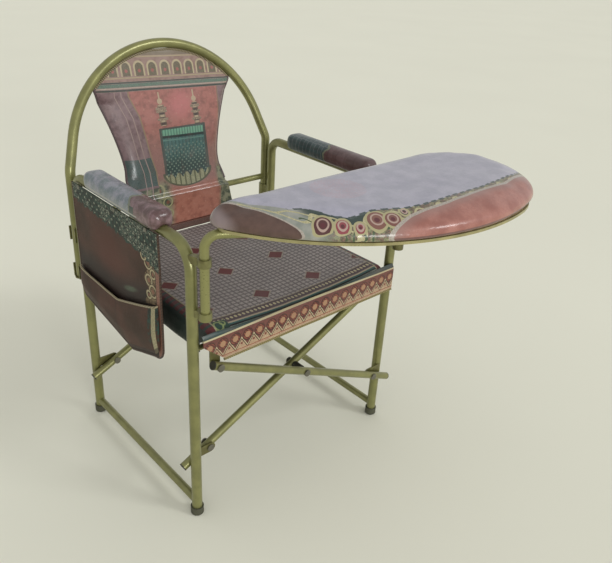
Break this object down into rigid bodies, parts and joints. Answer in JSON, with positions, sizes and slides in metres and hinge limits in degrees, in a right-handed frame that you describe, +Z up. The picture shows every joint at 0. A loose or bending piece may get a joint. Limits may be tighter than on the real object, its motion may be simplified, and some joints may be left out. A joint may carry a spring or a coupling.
{
  "type": "folding prayer chair",
  "caption": "Folding prayer chair of bent gold tube with scissor bars, a sling seat and back, padded arms, a side bag and a padded swing-aside table.",
  "frame": {"origin": "middle of the chair's bounding box, on the floor under its feet", "axes": "+Z up, -Y the way a sitter faces, +X to the right in a view from the front"},
  "size_m": [0.6535, 0.7863, 0.8027],
  "materials": {
    "gold_paint": "semi gloss, fine hammered texture",
    "bracket_paint": "semi gloss, fine hammered texture",
    "zinc": "zinc plated",
    "dark_rubber": "matt",
    "dark_plastic": "satin",
    "arm_cloth": "semi gloss printed vinyl",
    "bag_vinyl": "semi gloss printed vinyl",
    "seat_cloth": "woven check with a dotted border",
    "apron_cloth": "printed border",
    "trim_cloth": "piped edge",
    "back_cloth": "printed niche motif",
    "back_edge": "bound edge",
    "board_wood": "matt",
    "gold_trim": "gloss",
    "table_cloth": "gloss printed vinyl"
  },
  "bodies": {
    "left_frame": {"left_side_tube": "gold_paint", "left_bottom_rail": "gold_paint", "left_feet": "dark_rubber", "left_arm_pad": "arm_cloth", "left_saddles": "bracket_paint", "left_lugs": "bracket_paint", "left_pivot_bolts": "zinc", "left_back_sockets": "bracket_paint", "post_brackets": "bracket_paint", "bag_panel": "bag_vinyl", "bag_pocket": "bag_vinyl", "bag_rivets": "zinc"},
    "xframe_a": {"front_bar_a": "gold_paint", "rear_bar_a": "gold_paint", "bar_a_plugs": "dark_plastic", "centre_bolts": "zinc", "centre_spacers": "dark_plastic"},
    "xframe_b": {"front_bar_b": "gold_paint", "rear_bar_b": "gold_paint", "bar_b_plugs": "dark_plastic"},
    "left_rail": {"left_seat_rail": "gold_paint", "left_rail_ears": "bracket_paint", "left_rail_bolts": "zinc", "left_rail_plugs": "dark_plastic", "seat_sling": "seat_cloth", "seat_apron": "apron_cloth", "seat_piping": "trim_cloth"},
    "right_rail": {"right_seat_rail": "gold_paint", "right_rail_ears": "bracket_paint", "right_rail_bolts": "zinc", "right_rail_plugs": "dark_plastic"},
    "right_frame": {"right_side_tube": "gold_paint", "right_bottom_rail": "gold_paint", "right_feet": "dark_rubber", "right_arm_pad": "arm_cloth", "right_saddles": "bracket_paint", "right_lugs": "bracket_paint", "right_pivot_bolts": "zinc", "right_back_sockets": "bracket_paint", "table_prop": "gold_paint", "prop_brackets": "bracket_paint", "prop_cap": "dark_rubber"},
    "back": {"back_hoop": "gold_paint", "hoop_plugs": "dark_plastic", "back_crossbar": "gold_paint", "back_sling": "back_cloth", "back_skirt": "back_cloth", "back_binding": "back_edge"},
    "table": {"table_frame": "gold_paint", "table_frame_plugs": "dark_plastic", "table_cradles": "bracket_paint", "table_screws": "zinc", "table_board": "board_wood", "table_trim": "gold_trim", "table_pad": "table_cloth"}
  },
  "joints": [
    {"name": "fold", "type": "hinge", "parent": "left_frame", "child": "xframe_a", "pos_m": [-0.26025, 0.09934, 0.137], "axis": [0, -1, 0], "range_deg": [0, 51], "deforming": ["seat_sling", "seat_apron", "seat_piping", "back_skirt"]},
    {"name": "scissor", "type": "hinge", "parent": "xframe_a", "child": "xframe_b", "pos_m": [-0.05125, 0.09934, 0.238], "axis": [0, -1, 0], "range_deg": [-102, 0]},
    {"name": "left_rail_pivot", "type": "hinge", "parent": "xframe_b", "child": "left_rail", "pos_m": [-0.26025, 0.09934, 0.339], "axis": [0, -1, 0], "range_deg": [0, 51]},
    {"name": "right_rail_pivot", "type": "hinge", "parent": "xframe_a", "child": "right_rail", "pos_m": [0.15775, 0.09934, 0.339], "axis": [0, -1, 0], "range_deg": [-51, 0]},
    {"name": "right_frame_pivot", "type": "hinge", "parent": "xframe_b", "child": "right_frame", "pos_m": [0.15775, 0.09934, 0.137], "axis": [0, -1, 0], "range_deg": [0, 51]},
    {"name": "table_swing", "type": "hinge", "parent": "left_frame", "child": "table", "pos_m": [-0.28925, -0.12666, 0.45], "axis": [0, 0, -1], "range_deg": [0, 100]},
    {"name": "back_lift", "type": "slide", "parent": "left_frame", "child": "back", "axis": [0, 0, 1], "range_m": [0, 0.3]}
  ],
  "couplings": [
    {"joint": "scissor", "follows": "fold", "ratio": -2},
    {"joint": "left_rail_pivot", "follows": "fold", "ratio": 1},
    {"joint": "right_rail_pivot", "follows": "fold", "ratio": -1},
    {"joint": "right_frame_pivot", "follows": "fold", "ratio": 1}
  ]
}
